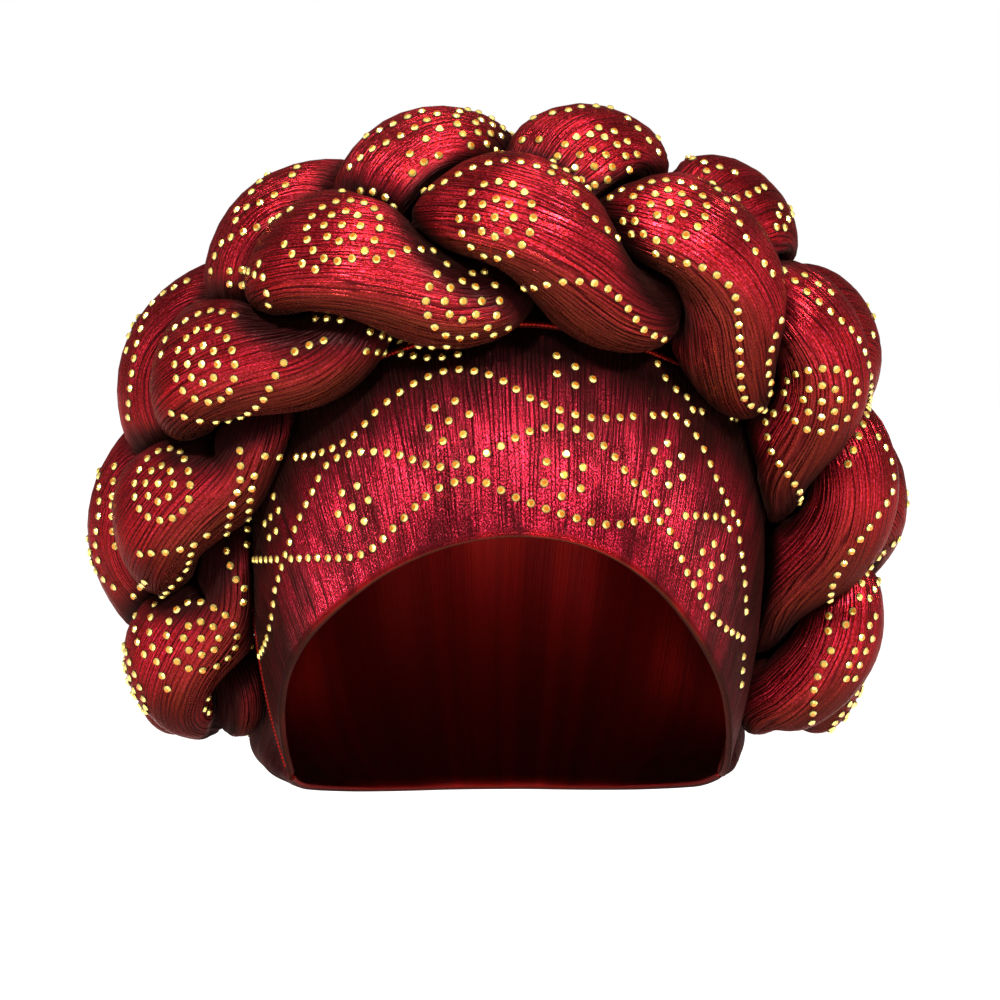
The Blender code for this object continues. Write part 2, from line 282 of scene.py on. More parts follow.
def clothMaterial(name, look):
    material, tree, shader = newMaterial(name)

    def layer(key):
        return addNode(tree, "ShaderNodeAttribute", {}, attribute_name=key).outputs["Fac"]

    def math(operation, a, b):
        return addNode(tree, "ShaderNodeMath", {0: a, 1: b}, operation=operation).outputs[0]

    def times(a, b):
        return math("MULTIPLY", a, b)

    def plus(a, b):
        return math("ADD", a, b)

    def less(a, b):
        return math("SUBTRACT", a, b)

    def mask(value, ends):
        return fadeBetween(tree, value, look[ends])

    def stretchedNoise(acrossScale, alongScale, detail, shift):
        # uv is in millimetres: x runs across the pleats and y along them
        values = {
            "Scale": (1 / acrossScale, 1 / alongScale, 1),
            "Location": (shift, shift * 0.7, shift),
            "Vector": cloth,
        }
        mapped = addNode(tree, "ShaderNodeMapping", values).outputs["Vector"]
        values = {"Scale": 1.0, "Detail": detail, "Roughness": look["noiseRough"], "Vector": mapped}
        return addNode(tree, "ShaderNodeTexNoise", values).outputs["Fac"]

    cloth = addNode(tree, "ShaderNodeUVMap", {}, uv_map="cloth").outputs["UV"]
    # the amount of painted shade that each piece carries, for creases, contacts and hidden faces
    paintedShade = layer("paintedShade")
    pleated = less(1.0, layer("plain"))
    thread, shifts = look["thread"], look["shifts"]
    threads = stretchedNoise(look["pleat"] * thread[0], look["pleatLength"] * thread[1], 1.0, shifts[0])
    crackle = stretchedNoise(look["crackle"], look["crackle"] * look["crackleStretch"], 2.0, shifts[1])
    broad = stretchedNoise(look["broadAcross"], look["broadAlong"], 2.0, shifts[2])
    patches = stretchedNoise(look["strengthAcross"], look["pleatLength"], 1.0, shifts[3])
    wandering = stretchedNoise(look["wanderAcross"], look["pleatLength"], 2.0, shifts[4])

    # pleats side by side, which wander a little and vary in depth
    run = addNode(tree, "ShaderNodeSeparateXYZ", {"Vector": cloth}).outputs["X"]
    place = plus(math("DIVIDE", run, look["pleat"]), times(wandering, look["wander"]))
    ridge = times(math("PINGPONG", place, 0.5), 2.0)
    deepness = times(mask(patches, "strengthEnds"), 1 - look["shallowest"])
    groove = times(mask(ridge, "grooveEnds"), plus(deepness, look["shallowest"]))
    fine = mask(threads, "fineEnds")
    # the normal's height, which places painted shade on cloth that faces down
    facing = addNode(tree, "ShaderNodeNewGeometry", {}).outputs["Normal"]
    facing = addNode(tree, "ShaderNodeSeparateXYZ", {"Vector": facing}).outputs["Z"]

    def tinted(colour, share, key):
        return mixColours(tree, share, colour, look[key])

    # painted glints: the crushed foil's speckles lighten towards hot pink, on the pleated cloth only
    paintedGlint = times(mask(crackle, "paintedGlintEnds"), pleated)
    colour = tinted(look["colour"], times(paintedGlint, look["paintedGlint"]), "glintPink")
    colour = tinted(colour, times(mask(broad, "broadEnds"), look["broad"]), "wine")
    # painted shade: cloth that faces down turns olive brown, the shot weave's weft colour put where shade
    # falls
    colour = tinted(colour, times(mask(facing, "paintedUndersideOliveEnds"), look["paintedUndersideOliveShare"]), "paintedUndersideOlive")
    # painted shade: the sunken grooves of the pleats and the fine threads between them darken to deep red
    colour = tinted(colour, times(times(groove, look["lines"]), pleated), "deep")
    colour = tinted(colour, times(times(fine, look["lines"] * look["fineShare"]), pleated), "deep")
    # painted shade: the cloth goes near black where its layer of painted shade is full
    colour = tinted(colour, times(paintedShade, look["paintedShade"]), "paintedShadeBlack")
    rough = plus(times(crackle, look["roughVaries"]), look["rough"] - look["roughVaries"] / 2)
    height = times(less(1.0, groove), look["pleatDepth"])
    height = plus(height, times(less(1.0, fine), look["pleatDepth"] * look["fineDepth"]))
    height = plus(times(height, pleated), times(crackle, look["crackleDepth"]))
    values = {"Strength": 1.0, "Distance": mm, "Height": height}
    bump = addNode(tree, "ShaderNodeBump", values).outputs["Normal"]
    sockets = {
        "Base Color": colour,
        "Roughness": plus(rough, times(paintedShade, look["valleyRough"])),
        "Normal": bump,
        "Coat Normal": bump,
        "Metallic": look["metallic"],
        "Specular IOR Level": look["specular"],
        "Specular Tint": look["specularTint"],
        "Sheen Weight": look["sheen"],
        "Sheen Roughness": look["sheenRough"],
        "Sheen Tint": look["sheenTint"],
        "Coat Weight": look["gloss"],
        "Coat Roughness": look["glossRough"],
    }
    fillSockets(tree, shader, sockets)
    return material


# Lengths are in millimetres. A pair of ends is where a mask starts and where it is full.
clothLook = {
    "pleat": 1.55,
    "pleatLength": 40.0,
    "grooveEnds": (0.55, 0.0),
    "shallowest": 0.25,
    "strengthAcross": 4.0,
    "strengthEnds": (0.30, 0.62),
    "wander": 4.0,
    "wanderAcross": 5.0,
    "thread": (0.30, 0.4),
    "fineEnds": (0.62, 0.40),
    "fineShare": 0.5,
    "fineDepth": 0.4,
    "crackle": 0.45,
    "crackleStretch": 1.6,
    "noiseRough": 0.55,
    "shifts": (7.7, 1.9, 5.3, 11.0, 3.1),
    "colour": (0.31, 0.006, 0.004),
    "glintPink": (1.0, 0.045, 0.13),
    "wine": (0.13, 0.004, 0.004),
    "broadAcross": 9.0,
    "broadAlong": 30.0,
    "paintedUndersideOlive": (0.055, 0.016, 0.004),
    "deep": (0.040, 0.002, 0.003),
    "paintedShadeBlack": (0.008, 0.002, 0.002),
    "paintedUndersideOliveEnds": (-0.05, -0.80),
    "paintedUndersideOliveShare": 0.85,
    "paintedGlintEnds": (0.42, 0.70),
    "broadEnds": (0.35, 0.68),
    "paintedGlint": 0.55,
    "broad": 0.5,
    "lines": 0.92,
    "paintedShade": 0.95,
    "rough": 0.27,
    "roughVaries": 0.22,
    "valleyRough": 0.25,
    "metallic": 0.92,
    "specular": 0.25,
    "specularTint": (0.42, 0.12, 0.08),
    "sheenRough": 0.45,
    "sheenTint": (0.50, 0.20, 0.14),
    "sheen": 0.03,
    "gloss": 0.035,
    "glossRough": 0.26,
    "pleatDepth": 0.32,
    "crackleDepth": 0.11,
}
braidMaterial = clothMaterial("braid_cloth", clothLook)
panelLook = {
    "pleat": 1.5,
    "pleatLength": 60.0,
    "colour": (0.17, 0.003, 0.005),
    "glintPink": (0.95, 0.03, 0.10),
    "wine": (0.03, 0.001, 0.002),
    "broad": 0.85,
    "broadAcross": 11.0,
    "broadAlong": 22.0,
    "paintedGlint": 0.9,
    "lines": 1.0,
    "pleatDepth": 0.45,
    "crackleDepth": 0.22,
}
panelMaterial = clothMaterial("pleated_cloth", {**clothLook, **panelLook})
bonnetMaterial = clothMaterial("bonnet_cloth", clothLook)
seamMaterial = clothMaterial("seam_cloth", {**clothLook, "lines": 0.2, "pleatDepth": 0.05})

# The cap's two gores. An ease is how far from the hem a thing fades, and a shade is how much painted
# shade darkens the hidden inner face and the edges.
edging = {
    "plainEase": 0.0012,
    "foldEase": 0.006,
    "rollEase": 0.0006,
    "roundOut": 0.4,
    "innerShade": 0.55,
    "edgeShade": 0.5,
    "past": 0.002,
    "columnFolds": (4, 6),
}


def gore(name, lowSweep, highSweep, size, material):
    # one gore of the cap: outer face, turned edges and a plain inner face
    columns, outerRows, innerRows = size["columns"], size["outerRows"], size["innerRows"]
    side = np.linspace(-head["tipSide"], head["tipSide"], columns)[:, None]
    part = 1 - np.linspace(1, 0, outerRows) ** size["bias"]
    innerPart = 1 - np.linspace(1, 0, innerRows) ** size["bias"]
    low, high = lowSweep(side), highSweep(side)

    def surface(share):
        sweep = low + (high - low) * share
        sides = side + np.zeros(share.shape)
        return capPoint(sides, sweep), capNormal(sides, sweep)

    outer, outerNormal = surface(part[None, :])
    u = walkedAlong(outer[:, outerRows // 2])[:, None]
    steps = np.linalg.norm(np.diff(outer, axis=1), axis=2)
    v = np.concatenate([np.zeros((columns, 1)), np.cumsum(steps, axis=1)], 1)
    across = (u / u[-1]) + np.zeros(part.shape)
    along = part[None, :] + np.zeros((columns, 1))
    few, many = edging["columnFolds"]
    folds = streaks(size["seed"], across, along, size["folds"], few)
    folds = sunken(folds + 0.5 * streaks(size["seed"] + 1, across, along, size["folds"] * 2, many))
    hem = np.minimum(v, v[:, -1:] - v)
    plain = 1 - smoothStep((hem - size["hem"]) / edging["plainEase"])
    depth = size["foldDepth"] * smoothStep(hem / edging["foldEase"])
    roll = size["hemRise"] * (1 - smoothStep((hem - size["hem"]) / edging["rollEase"]))
    outer = outer + (folds * depth + roll)[..., None] * outerNormal
    inner, innerNormal = surface(innerPart[None, ::-1])
    inner = inner - head["cloth"] * innerNormal
    # a rounded edge between the two faces, at both ends
    edgeLow = (outer[:, :1] + inner[:, -1:]) / 2 + (outer[:, :1] - outer[:, 1:2]) * edging["roundOut"]
    edgeHigh = (outer[:, -1:] + inner[:, :1]) / 2
    rings = np.concatenate([outer[:, ::-1], edgeLow, inner[:, ::-1], edgeHigh], 1)
    count = rings.shape[1]
    hidden, edge = np.zeros((columns, innerRows + 1)), np.zeros((columns, 1))
    plainAll = np.concatenate([plain[:, ::-1], hidden + 1, edge + 1], 1)
    # painted shade on the outer face under the braid and towards the ears, and on the hidden inner face and
    # edges
    shade = underBraid(side + np.zeros(part.shape), low + (high - low) * part[None, :], outer)
    shades = [shade[:, ::-1], hidden + edging["innerShade"], edge + edging["edgeShade"]]
    vAll = np.concatenate([v[:, ::-1], hidden - edging["past"], v[:, -1:] + edging["past"]], 1)
    uv = np.stack([u + np.zeros((1, count)), vAll], -1) / mm
    # the two narrow ends by the ears
    caps = []
    last = (columns - 1) * count
    half = (count - 1) // 2
    for c in range(half):
        caps.append((c + 1, c, count - 1 - c, count - 2 - c))
        caps.append((last + c, last + c + 1, last + count - 2 - c, last + count - 1 - c))
    faces = np.concatenate([tubeFaces(columns, count), np.array(caps)])
    layers = {"plain": plainAll, "paintedShade": np.concatenate(shades, 1)}
    return newPiece(name, rings.reshape(-1, 3), faces, material, uv.reshape(-1, 2), layers)


# Where the cap's painted shade falls: lengths are in metres, and the ear's values in degrees of side.
shading = {
    "braidReach": 0.042,
    "braidEase": 0.034,
    "braidStep": 30,
    "earShare": 0.92,
    "earShift": 4,
    "earFrom": 26,
    "earEase": 24,
    "frontSweep": 90,
}


def underBraid(side, sweep, points):
    # painted shade on the cloth where the braid lies over it, and in front of it towards the ears
    nearest = np.full(points.shape[:2], np.inf)
    for spot in braidCentre()[0][:: shading["braidStep"]]:
        nearest = np.minimum(nearest, np.linalg.norm(points - spot, axis=-1))
    outward = np.abs(side + shading["earShift"]) - shading["earFrom"]
    towardEar = shading["earShare"] * smoothStep(outward / shading["earEase"])
    shade = 1 - smoothStep((nearest - shading["braidReach"]) / shading["braidEase"])
    return np.maximum(shade, towardEar * (sweep < shading["frontSweep"]))


# The braid of three padded strands.
braidPath = {
    "along": (0.0, 0.14, 0.29, 0.45, 0.62, 0.77, 0.89, 1.0),
    "out": (0.0, 0.037, 0.068, 0.091, 0.103, 0.104, 0.101, 0.094),
    "back": (-0.074, -0.068, -0.048, -0.018, 0.010, 0.032, 0.043, 0.048),
    "up": (0.000, -0.004, -0.020, -0.048, -0.085, -0.119, -0.146, -0.167),
    "faceOut": (0.0, 0.32, 0.60, 0.85, 0.95, 0.96, 0.95, 0.95),
    "faceFront": (0.52, 0.48, 0.38, 0.30, 0.27, 0.25, 0.22, 0.20),
    "faceUp": (0.85, 0.81, 0.68, 0.36, 0.05, -0.10, -0.17, -0.20),
    "size": (1.0, 1.0, 1.0, 1.0, 1.0, 0.98, 0.87, 0.60),
    "pitch": (0.050, 0.051, 0.056, 0.060, 0.062, 0.062, 0.062, 0.062),
}
strand = {
    "count": 3,
    "phaseAtTop": 232.0,
    "spread": 0.0225,
    "steepness": 0.05,
    "rise": 0.0130,
    "riseLead": 15.0,
    "halfWidth": 0.0230,
    "halfDepth": 0.0145,
    "turnDepthGain": 0.0045,
    "turnWidthLoss": 0.0030,
    "leastSeat": 0.0065,
    "seatEase": 0.003,
    "gap": 0.0007,
    "capGap": 0.0005,
    "overPress": 0.20,
    "tightestBend": 0.7,
    "rings": 216,
    "endRows": 16,
    "endRound": 0.0105,
    "endLeast": 0.03,
    "rays": 128,
    "sides": 384,
    "perimeter": 0.118,
    "folds": 44,
    "foldDepth": 0.0004,
    "foldSeeds": (40, 50),
    "foldCells": (14, 22),
    "foldShare": (0.7, 0.9),
    "drift": (0.02, 9),
    "tip": 0.0003,
    "sections": 901,
    "roundSteps": 721,
    "leastStep": 0.0003,
    "shrink": 0.94,
    "mostRounds": 30,
    "paintedShadePower": 1.5,
}
# How the sections are compared: sections read to each side, every how many of them, points on
# a spoke, the weight of the cap, and the share of the reach within which a neighbour is near.
pressing = {"window": 110, "every": 3, "points": 17, "capWeight": 5, "near": 0.55, "leastBend": 0.01}


def braidCentre():
    along = np.linspace(-1, 1, strand["sections"])
    centre = np.stack(
        [
            fromTable(braidPath, "out", along, "along", odd=True),
            fromTable(braidPath, "back", along, "along"),
            fromTable(braidPath, "up", along, "along"),
        ],
        -1,
    )
    face = np.stack(
        [
            fromTable(braidPath, "faceOut", along, "along", odd=True),
            -fromTable(braidPath, "faceFront", along, "along"),
            fromTable(braidPath, "faceUp", along, "along"),
        ],
        -1,
    )
    direction = unit(np.gradient(centre, axis=0))
    face = squareTo(face, direction)
    rear = np.cross(face, direction)
    steps = np.linalg.norm(np.diff(centre, axis=0), axis=1)
    pitch = fromTable(braidPath, "pitch", along, "along")
    turns = np.concatenate([[0], np.cumsum(steps / (strand["count"] * (pitch[1:] + pitch[:-1]) / 2))])
    turns -= turns[len(turns) // 2]
    size = fromTable(braidPath, "size", along, "along")
    return centre, face, rear, size, 2 * np.pi * turns


def strandSections(number):
    centre, face, rear, size, turned = braidCentre()
    phase = np.radians(strand["phaseAtTop"] + number * 360 / strand["count"]) + turned
    swing = (np.sin(phase) + strand["steepness"] * np.sin(3 * phase)) / (1 - strand["steepness"])
    middle = (
        centre
        + (strand["spread"] * size * swing)[:, None] * rear
        + (strand["rise"] * size * np.sin(2 * phase + np.radians(strand["riseLead"])))[:, None] * face
    )
    short = strand["leastSeat"] * size - (capRatio(middle) - 1) * head["halfWidth"]
    middle = middle + ((short + np.hypot(short, strand["seatEase"])) / 2)[:, None] * face
    along = unit(np.gradient(middle, axis=0))
    deep = squareTo(face, along)
    turn = np.sin(phase) ** 4
    halfWidth = size * (strand["halfWidth"] - strand["turnWidthLoss"] * turn)
    halfDepth = size * (strand["halfDepth"] + strand["turnDepthGain"] * turn)
    bend = np.gradient(along, axis=0) / np.linalg.norm(np.gradient(middle, axis=0), axis=1)[:, None]
    return {
        "middle": middle,
        "along": along,
        "rear": squareTo(rear, along),
        "wide": np.cross(along, deep),
        "deep": deep,
        "halfWidth": halfWidth,
        "halfDepth": halfDepth,
        "bend": bend,
        "phase": phase,
        "lift": np.sin(2 * phase + np.radians(strand["riseLead"])),
    }


def strandRatio(points, other, first, last):
    # under 1 inside the other strand between its sections first and last, and how high it rides
    keep = slice(max(first, 0), last, pressing["every"])
    d = points[:, None] - other["middle"][None, keep]
    ratio = (
        (np.sum(d * other["wide"][keep], axis=-1) / other["halfWidth"][keep]) ** 2
        + (np.sum(d * other["deep"][keep], axis=-1) / other["halfDepth"][keep]) ** 2
        + (np.sum(d * other["along"][keep], axis=-1) / strand["halfDepth"]) ** 2
    )
    return np.sqrt(ratio.min(axis=1)), other["lift"][keep][ratio.argmin(axis=1)]


def spokes(sections, every, turn):
    # from the middle of each section out to its free edge
    across = (sections["halfWidth"][every][:, None] * np.cos(turn))[..., None]
    up = (sections["halfDepth"][every][:, None] * np.sin(turn))[..., None]
    return across * sections["wide"][every][:, None] + up * sections["deep"][every][:, None]


def pressedReach(number, sections, every):
    # how far each spoke of each ring reaches before it meets another strand, the cap or its own bend
    others = [allSections[k] for k in range(strand["count"]) if k != number]
    turn = np.linspace(2 * np.pi, 0, strand["rays"], endpoint=False)
    spoke = spokes(sections, every, turn)
    middle = sections["middle"][every]
    share = np.linspace(0, 1, pressing["points"])
    window = pressing["window"]
    margin = strand["gap"] / (strand["halfWidth"] + strand["halfDepth"])
    inBend = np.sum(spoke * sections["bend"][every][:, None], axis=-1)
    reach = np.minimum(1, strand["tightestBend"] / np.maximum(inBend, pressing["leastBend"]))
    closeness = np.zeros(reach.shape)
    for r in range(len(every)):
        points = (middle[r] + spoke[r][:, None] * share[:, None]).reshape(-1, 3)
        spare = np.full(len(points), np.inf)
        for other in others:
            near, riding = strandRatio(points, other, every[r] - window, every[r] + window + 1)
            favour = np.exp(strand["overPress"] * (sections["lift"][every[r]] - riding))
            spare = np.minimum(spare, near * favour - margin * 2)
        spare = spare.reshape(len(turn), len(share)) - share
        capSpare = capRatio(points).reshape(spare.shape) - 1 - strand["capGap"] / head["halfWidth"]
        spare = np.minimum(spare, capSpare * pressing["capWeight"])
        closeness[r] = 1 - spare[:, -1] / pressing["near"]
        bad = spare < 0
        first = np.where(bad.any(axis=1), bad.argmax(axis=1), 0)
        for c in np.flatnonzero(bad.any(axis=1)):
            k = max(first[c], 1)
            before, after = max(spare[c, k - 1], 0), spare[c, k]
            clear = share[k - 1] + (share[k] - share[k - 1]) * before / (before - after)
            reach[r, c] = min(reach[r, c], clear)
    for _ in range(2):
        padded = np.pad(reach, ((1, 1), (0, 0)), mode="edge")
        reach = np.minimum(reach, (padded[:-2] + padded[2:]) / 4 + reach / 2)
        around = (np.roll(reach, 1, 1) + np.roll(reach, -1, 1)) / 4 + reach / 2
        reach = np.minimum(reach, around)
    return reach, np.clip(closeness, 0, 1)


def makeStrand(number):
    sections = allSections[number]
    total = len(sections["middle"])
    every = np.round(np.linspace(0, total - 1, strand["rings"])).astype(int)
    ends = np.arange(strand["endRows"])
    every = np.unique(np.concatenate([every, ends, total - 1 - ends]))
    reach, closeness = pressedReach(number, sections, every)
    # sides spread evenly round the section, so that the folds are even too
    coarse = np.linspace(0, 2 * np.pi, strand["roundSteps"])
    step = np.hypot(strand["halfWidth"] * np.sin(coarse), strand["halfDepth"] * np.cos(coarse))
    walked = np.concatenate([[0], np.cumsum((step[1:] + step[:-1]) / 2)])
    sides = strand["sides"]
    around = np.arange(sides) / sides
    turn = 2 * np.pi - np.interp(around * walked[-1], walked, coarse)
    rayTurn = np.linspace(2 * np.pi, 0, strand["rays"] + 1)
    reach = np.concatenate([reach, reach[:, :1]], 1)
    closeness = np.concatenate([closeness, closeness[:, :1]], 1)
    fineReach = np.stack([np.interp(turn, rayTurn[::-1], row[::-1]) for row in reach])
    fineClose = np.stack([np.interp(turn, rayTurn[::-1], row[::-1]) for row in closeness])
    middle, along = sections["middle"][every], sections["along"][every]
    spoke = spokes(sections, every, turn)
    length = walkedAlong(middle)
    # the padding is gathered round at both ends
    toEnd = np.minimum(length, length[-1] - length)
    gathered = np.sqrt(1 - (1 - np.clip(toEnd / strand["endRound"], strand["endLeast"], 1)) ** 2)
    fineReach = fineReach * gathered[:, None]
    v = (length / length[-1])[:, None] + np.zeros(sides)
    u = around[None, :] + np.zeros((len(every), 1))
    drift = strand["drift"][0] * np.sin(v * strand["drift"][1] + number)
    seeds, cells = strand["foldSeeds"], strand["foldCells"]
    folds = streaks(seeds[0] + number, (u + drift) % 1, v, strand["folds"], cells[0])
    finer = streaks(seeds[1] + number, (u - drift) % 1, v, strand["folds"] * 2, cells[1])
    folds = sunken(folds + 0.5 * finer)
    apart, pressed = strand["foldShare"]
    depth = strand["foldDepth"] * (apart + pressed * smoothStep(fineClose))
    radius = np.linalg.norm(spoke, axis=-1)
    fineReach = fineReach + folds * depth / radius
    ahead = unit(along[1:] + along[:-1])
    for _ in range(strand["mostRounds"]):
        rings = middle[:, None] + spoke * fineReach[..., None]
        folded = np.sum((rings[1:] - rings[:-1]) * ahead[:, None], axis=-1) < strand["leastStep"]
        if not folded.any():
            break
        fineReach[1:][folded] *= strand["shrink"]
        fineReach[:-1][folded] *= strand["shrink"]
    rings = middle[:, None] + spoke * fineReach[..., None]
    tips = [middle[0] - strand["tip"] * along[0], middle[-1] + strand["tip"] * along[-1]]
    points = np.concatenate([rings.reshape(-1, 3), tips])
    faces = np.concatenate([tubeFaces(len(every), sides), tubeEnds(len(every), sides)])
    uv = np.stack([u * strand["perimeter"], v * length[-1]], -1).reshape(-1, 2) / mm
    uv = np.concatenate([uv, np.zeros((2, 2))])
    # painted shade where the strand presses on its neighbours and on the cap, full at the two tips
    paintedShade = np.concatenate([smoothStep(fineClose).ravel() ** strand["paintedShadePower"], [1, 1]])
    layers = {"plain": np.zeros(len(points)), "paintedShade": paintedShade}
    piece = newPiece("strand_%d" % (number + 1), points, faces, braidMaterial, uv, layers)
    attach(piece, "root")
    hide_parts("braid_strand_%d" % (number + 1))
    return piece


allSections = [strandSections(k) for k in range(strand["count"])]
strands = [makeStrand(k) for k in range(strand["count"])]
print("strands made")

panelSize = {
    "columns": 520,
    "outerRows": 110,
    "innerRows": 14,
    "bias": 1.0,
    "seed": 3,
    "folds": 70,
    "foldDepth": 0.0004,
    "hem": 0.0014,
    "hemRise": 0.0002,
    "flatSize": (0.455, 0.084),
    "flatArea": 0.0242,
}
bonnetSize = {
    "columns": 460,
    "outerRows": 130,
    "innerRows": 16,
    "bias": 1.4,
    "seed": 9,
    "folds": 60,
    "foldDepth": 0.0010,
    "hem": 0.0025,
    "hemRise": 0.0002,
    "flatSize": (0.457, 0.352),
    "flatArea": 0.0737,
}
seamHalfSweep = 0.6


def beforeSeam(side):
    return seamSweep(side) - seamHalfSweep


def behindSeam(side):
    return seamSweep(side) + seamHalfSweep


panel = gore("front_panel_cloth", hemSweep, beforeSeam, panelSize, panelMaterial)
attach(panel, "root")
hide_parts("front_panel")
bonnet = gore("bonnet_cloth_shell", behindSeam, napeSweep, bonnetSize, bonnetMaterial)
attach(bonnet, "root")
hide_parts("crown_bonnet")
print("cap made")

piping = {
    "roll": 0.0012,
    "sink": 0.0003,
    "puff": 0.0013,
    "puffDepth": 0.22,
    "lean": 0.5,
    "short": 0.3,
    "tip": 0.0006,
    "shade": 0.8,
    "shadePower": 1.5,
    "rings": 1500,
    "sides": 10,
}


def makePiping():
    tipSide, count, sides = head["tipSide"] - piping["short"], piping["rings"], piping["sides"]
    side = np.linspace(-tipSide, tipSide, count)
    sweep = seamSweep(side)
    normal = capNormal(side, sweep)
    centre = capPoint(side, sweep) - piping["sink"] * normal
    along = unit(np.gradient(centre, axis=0))
    over = np.cross(along, normal)
    walked = walkedAlong(centre)
    turn = np.linspace(2 * np.pi, 0, sides, endpoint=False)
    # each puff leans a little, like thread wound round a cord
    wave = np.abs(np.sin(np.pi * walked[:, None] / piping["puff"] + piping["lean"] * np.cos(turn)))
    radius = piping["roll"] * (1 - piping["puffDepth"] * (1 - wave))
    rings = centre[:, None] + radius[..., None] * (
        np.cos(turn)[None, :, None] * over[:, None] + np.sin(turn)[None, :, None] * normal[:, None]
    )
    past = piping["tip"]
    tips = [rings[0].mean(axis=0) - past * along[0], rings[-1].mean(axis=0) + past * along[-1]]
    points = np.concatenate([rings.reshape(-1, 3), tips])
    faces = np.concatenate([tubeFaces(count, sides), tubeEnds(count, sides)])
    uv = np.stack([np.tile(turn, count), np.repeat(walked / mm, sides)], -1)
    uv = np.concatenate([uv, np.zeros((2, 2))])
    # painted shade in the grooves between the puffs
    groove = piping["shade"] * (1 - wave) ** piping["shadePower"]
    layers = {"plain": np.ones(len(points)), "paintedShade": np.concatenate([groove.ravel(), [1, 1]])}
    piece = newPiece("seam_piping_cloth", points, faces, seamMaterial, uv, layers)
    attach(piece, "root")
    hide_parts("seam_piping")


makePiping()
print("piping made")

# The camera, placed as for the photo.
view = {
    "azimuth": -4.0,
    "elevation": 2.0,
    "distance": 1.5,
    "lens": 166.15,
    "sensor": 36.0,
    "near": 0.05,
    "far": 100.0,
    "targetUp": -0.0894,
    "targetAside": -0.0023,
    "pixels": 1000,
}


def cameraAxes():
    a, e = np.radians(view["azimuth"]), np.radians(view["elevation"])
    back = Vector((np.sin(a) * np.cos(e), -np.cos(a) * np.cos(e), np.sin(e)))
    right = Vector((np.cos(a), np.sin(a), 0.0))
    target = Vector((0.0, 0.0, view["targetUp"])) + view["targetAside"] * right
    return target + back * view["distance"], right, back.cross(right), back


def makeCamera():
    place, _, _, back = cameraAxes()
    data = bpy.data.cameras.new("photo_camera")
    data.lens = view["lens"]
    data.sensor_width = view["sensor"]
    data.clip_start = view["near"]
    data.clip_end = view["far"]
    camera = addObject("photo_camera", data)
    camera.location = place
    camera.rotation_euler = back.to_track_quat("Z", "Y").to_euler()
    bpy.context.scene.camera = camera


makeCamera()

# The rhinestones. Each lobe of the braid has its box in the photo and its box here, in pixels.
# The medallion is the ring pattern near the lobe's middle, and both follow the photo's pixels.
lobes = {
    "L1": {"photo": (105, 600, 250, 740), "here": (130, 595, 250, 740), "medallions": ((191, 642),)},
    "L2": {"photo": (110, 420, 250, 570), "here": (115, 420, 285, 590), "medallions": ((146, 476),)},
    "L3": {"photo": (130, 285, 370, 430), "here": (150, 300, 390, 437), "medallions": ((182, 353),)},
    "L4": {
        "photo": (235, 190, 480, 335),
        "here": (245, 190, 525, 345),
        "medallions": ((320, 223), (426, 294)),
    },
    "L5": {"photo": (395, 155, 640, 345), "here": (410, 150, 680, 350), "medallions": ((472, 219),)},
    "L6": {"photo": (580, 195, 775, 415), "here": (605, 173, 785, 420), "medallions": ((650, 222),)},
    "L7": {"photo": (755, 295, 875, 535), "here": (750, 265, 873, 527), "medallions": ((825, 420),)},
    "L8": {"photo": (760, 440, 905, 660), "here": (760, 410, 905, 657), "medallions": ()},
    "L9": {"photo": (745, 620, 870, 750), "here": (748, 580, 880, 742), "medallions": ()},
    "O1": {"photo": (93, 440, 130, 575), "here": (92, 440, 132, 610), "medallions": ()},
    "O2": {"photo": (113, 270, 190, 430), "here": (120, 265, 205, 440), "medallions": ()},
    "O3": {"photo": (188, 160, 330, 300), "here": (208, 160, 340, 298), "medallions": ()},
    "O4": {"photo": (325, 112, 525, 215), "here": (338, 106, 515, 205), "medallions": ((497, 141),)},
    "O5": {"photo": (505, 122, 705, 215), "here": (513, 104, 672, 198), "medallions": ((607, 184),)},
    "O6": {"photo": (700, 185, 832, 300), "here": (682, 156, 797, 256), "medallions": ()},
    "panel": {"photo": (0, 0, 1000, 1000), "here": (0, 0, 1000, 1000), "medallions": ()},
}
